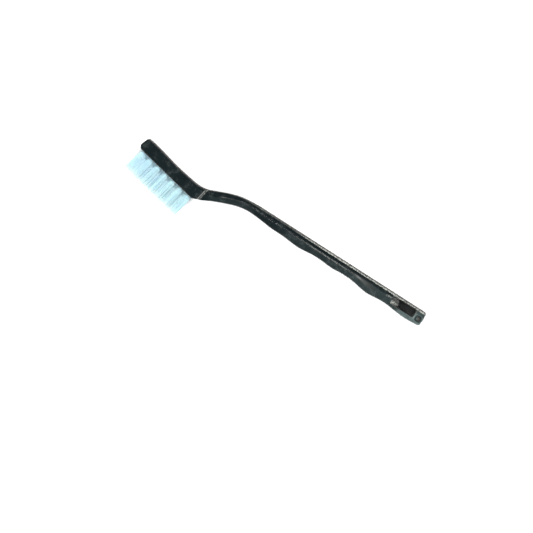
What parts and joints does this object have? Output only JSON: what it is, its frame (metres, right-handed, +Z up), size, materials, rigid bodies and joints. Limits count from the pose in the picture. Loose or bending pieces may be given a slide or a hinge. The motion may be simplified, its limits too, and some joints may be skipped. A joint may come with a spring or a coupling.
{
  "type": "crook-neck hand brush",
  "caption": "Small hand brush with a crook-neck moulded handle, finger scallops, a hang slot and staggered rows of stiff pale bristle tufts for brushing and cleaning.",
  "frame": {"origin": "under the middle of the overall box, on the surface that the brush lies on", "axes": "+X along the grip from the head to the hanging end, +Y from the bristles to the back edge, +Z up through the thickness of the brush, which lies on its side"},
  "size_m": [0.1792, 0.0287, 0.012],
  "materials": {
    "handle": "black moulded plastic, semi-gloss with a fine scuffed texture",
    "bristles": "stiff pale cyan nylon filaments, slightly translucent",
    "anchors": "flat anchor wire, bright drawn brass"
  },
  "bodies": {
    "root": {"handle": "handle", "tuft_upper_1": "bristles", "tuft_upper_2": "bristles", "tuft_upper_3": "bristles", "tuft_upper_4": "bristles", "tuft_upper_5": "bristles", "tuft_upper_6": "bristles", "tuft_upper_7": "bristles", "tuft_middle_1": "bristles", "tuft_middle_2": "bristles", "tuft_middle_3": "bristles", "tuft_middle_4": "bristles", "tuft_middle_5": "bristles", "tuft_middle_6": "bristles", "tuft_lower_1": "bristles", "tuft_lower_2": "bristles", "tuft_lower_3": "bristles", "tuft_lower_4": "bristles", "tuft_lower_5": "bristles", "tuft_lower_6": "bristles", "tuft_lower_7": "bristles", "anchor_upper_1": "anchors", "anchor_upper_2": "anchors", "anchor_upper_3": "anchors", "anchor_upper_4": "anchors", "anchor_upper_5": "anchors", "anchor_upper_6": "anchors", "anchor_upper_7": "anchors", "anchor_middle_1": "anchors", "anchor_middle_2": "anchors", "anchor_middle_3": "anchors", "anchor_middle_4": "anchors", "anchor_middle_5": "anchors", "anchor_middle_6": "anchors", "anchor_lower_1": "anchors", "anchor_lower_2": "anchors", "anchor_lower_3": "anchors", "anchor_lower_4": "anchors", "anchor_lower_5": "anchors", "anchor_lower_6": "anchors", "anchor_lower_7": "anchors"}
  },
  "joints": []
}
